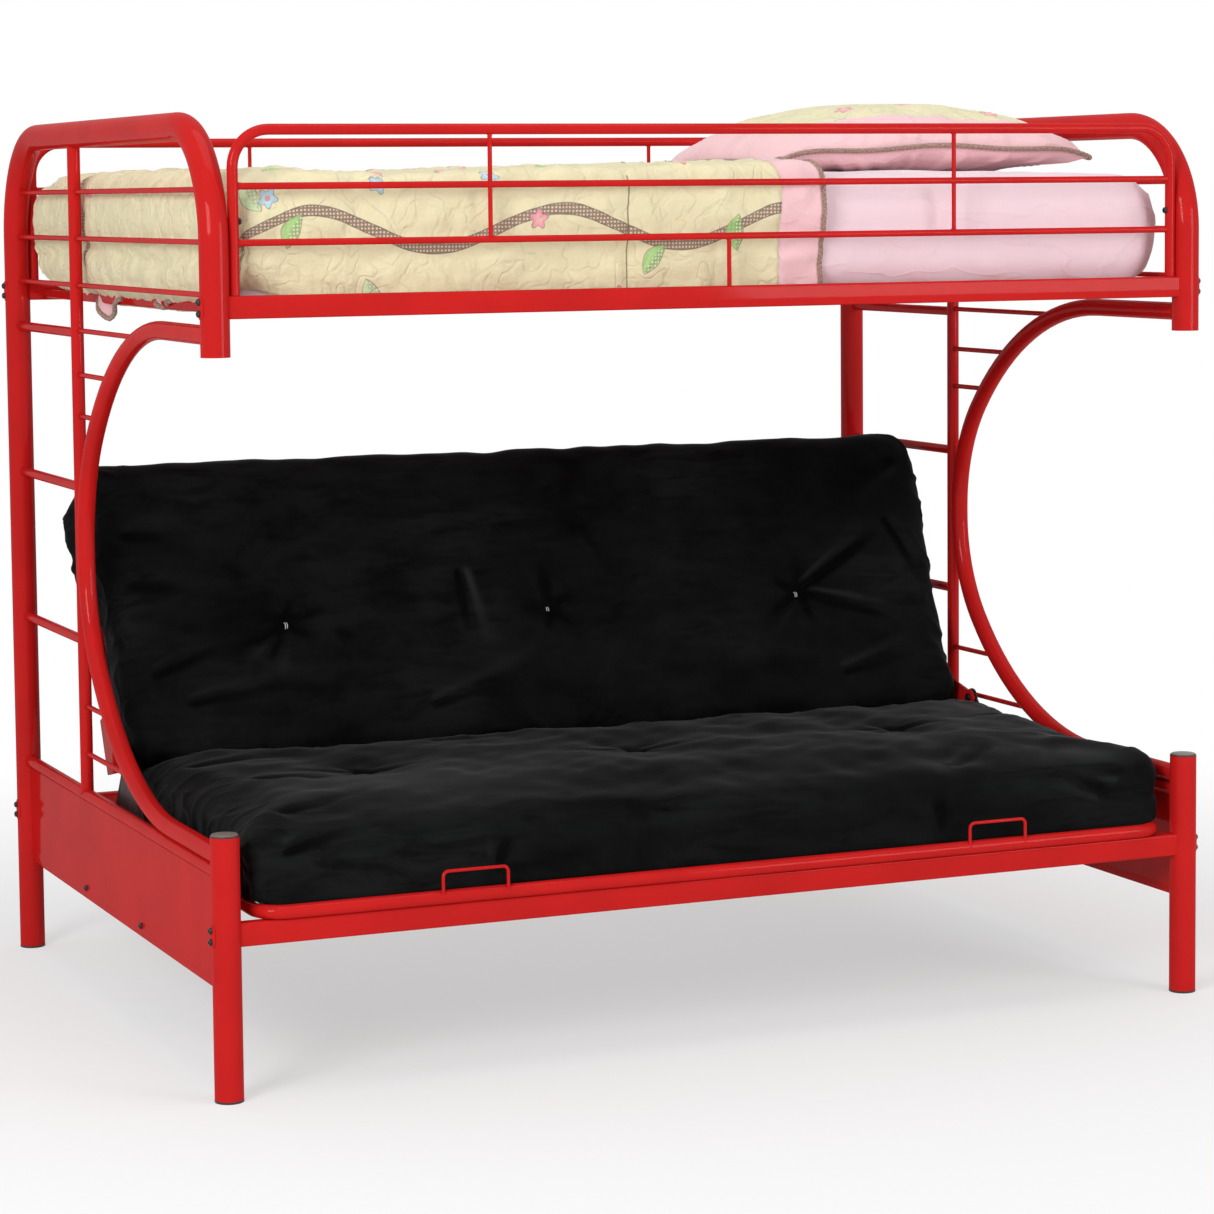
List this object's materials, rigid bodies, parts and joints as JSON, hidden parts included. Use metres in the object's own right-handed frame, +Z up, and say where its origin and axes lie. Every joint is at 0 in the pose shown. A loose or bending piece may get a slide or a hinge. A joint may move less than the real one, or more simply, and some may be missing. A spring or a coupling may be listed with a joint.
{
  "type": "futon bunk bed",
  "caption": "Tubular steel bunk bed with C-shaped ends, side ladders, guard rails and an upper mattress, over a tufted sofa whose back folds down flat to make a second bed.",
  "frame": {"origin": "on the floor under the middle of the four posts", "axes": "+X along the bed to the end with the pillow, +Y from the open front to the back, +Z up"},
  "size_m": [1.9928, 1.4354, 1.7245],
  "materials": {
    "red_paint": "high gloss",
    "black_steel": "satin",
    "black_plastic": "satin",
    "cap_plastic": "satin",
    "black_suede": "short soft nap",
    "pink_cotton": "woven",
    "cream_cotton": "quilted, printed"
  },
  "bodies": {
    "bed": {"back_foot_left": "black_plastic", "back_foot_right": "black_plastic", "base_rail_back": "red_paint", "base_rail_front": "red_paint", "base_saddle_back_left": "black_steel", "base_saddle_back_right": "black_steel", "base_saddle_front_left": "black_steel", "base_saddle_front_right": "black_steel", "c_arc_left": "red_paint", "c_arc_right": "red_paint", "end_hoop_left": "red_paint", "end_hoop_right": "red_paint", "end_panel_left": "red_paint", "end_panel_right": "red_paint", "front_foot_left": "black_plastic", "front_foot_right": "black_plastic", "front_post_left": "red_paint", "front_post_right": "red_paint", "guard_bolt_back_left": "black_steel", "guard_bolt_back_right": "black_steel", "guard_bolt_front_left": "black_steel", "guard_bolt_front_right": "black_steel", "guard_rail_back": "red_paint", "guard_rail_front": "red_paint", "hinge_bracket_left": "black_steel", "hinge_bracket_right": "black_steel", "long_rod_high_left": "red_paint", "long_rod_high_right": "red_paint", "long_rod_low_left": "red_paint", "long_rod_low_right": "red_paint", "long_rod_mid_left": "red_paint", "long_rod_mid_right": "red_paint", "mid_post_left": "red_paint", "mid_post_right": "red_paint", "pillow": "cream_cotton", "pivot_bolt_left": "black_steel", "pivot_bolt_right": "black_steel", "post_cap_left": "cap_plastic", "post_cap_right": "cap_plastic", "quilt": "cream_cotton", "rung_high_left": "red_paint", "rung_high_right": "red_paint", "rung_low_left": "red_paint", "rung_low_right": "red_paint", "rung_mid_left": "red_paint", "rung_mid_right": "red_paint", "seat_frame": "red_paint", "side_rail_back": "red_paint", "side_rail_front": "red_paint", "sofa_seat_pad": "black_suede", "stub_plug_left": "black_plastic", "stub_plug_right": "black_plastic", "upper_deck": "red_paint", "upper_mattress": "pink_cotton", "upper_saddle_back_left": "black_steel", "upper_saddle_back_right": "black_steel", "upper_saddle_front_left": "black_steel", "upper_saddle_front_right": "black_steel"},
    "sofa_back": {"back_frame": "red_paint", "sofa_back_pad": "black_suede"}
  },
  "joints": [
    {"name": "back_fold", "type": "hinge", "parent": "bed", "child": "sofa_back", "pos_m": [0, 0.065, 0.48], "axis": [1, 0, 0], "range_deg": [-64.3, 10]}
  ]
}
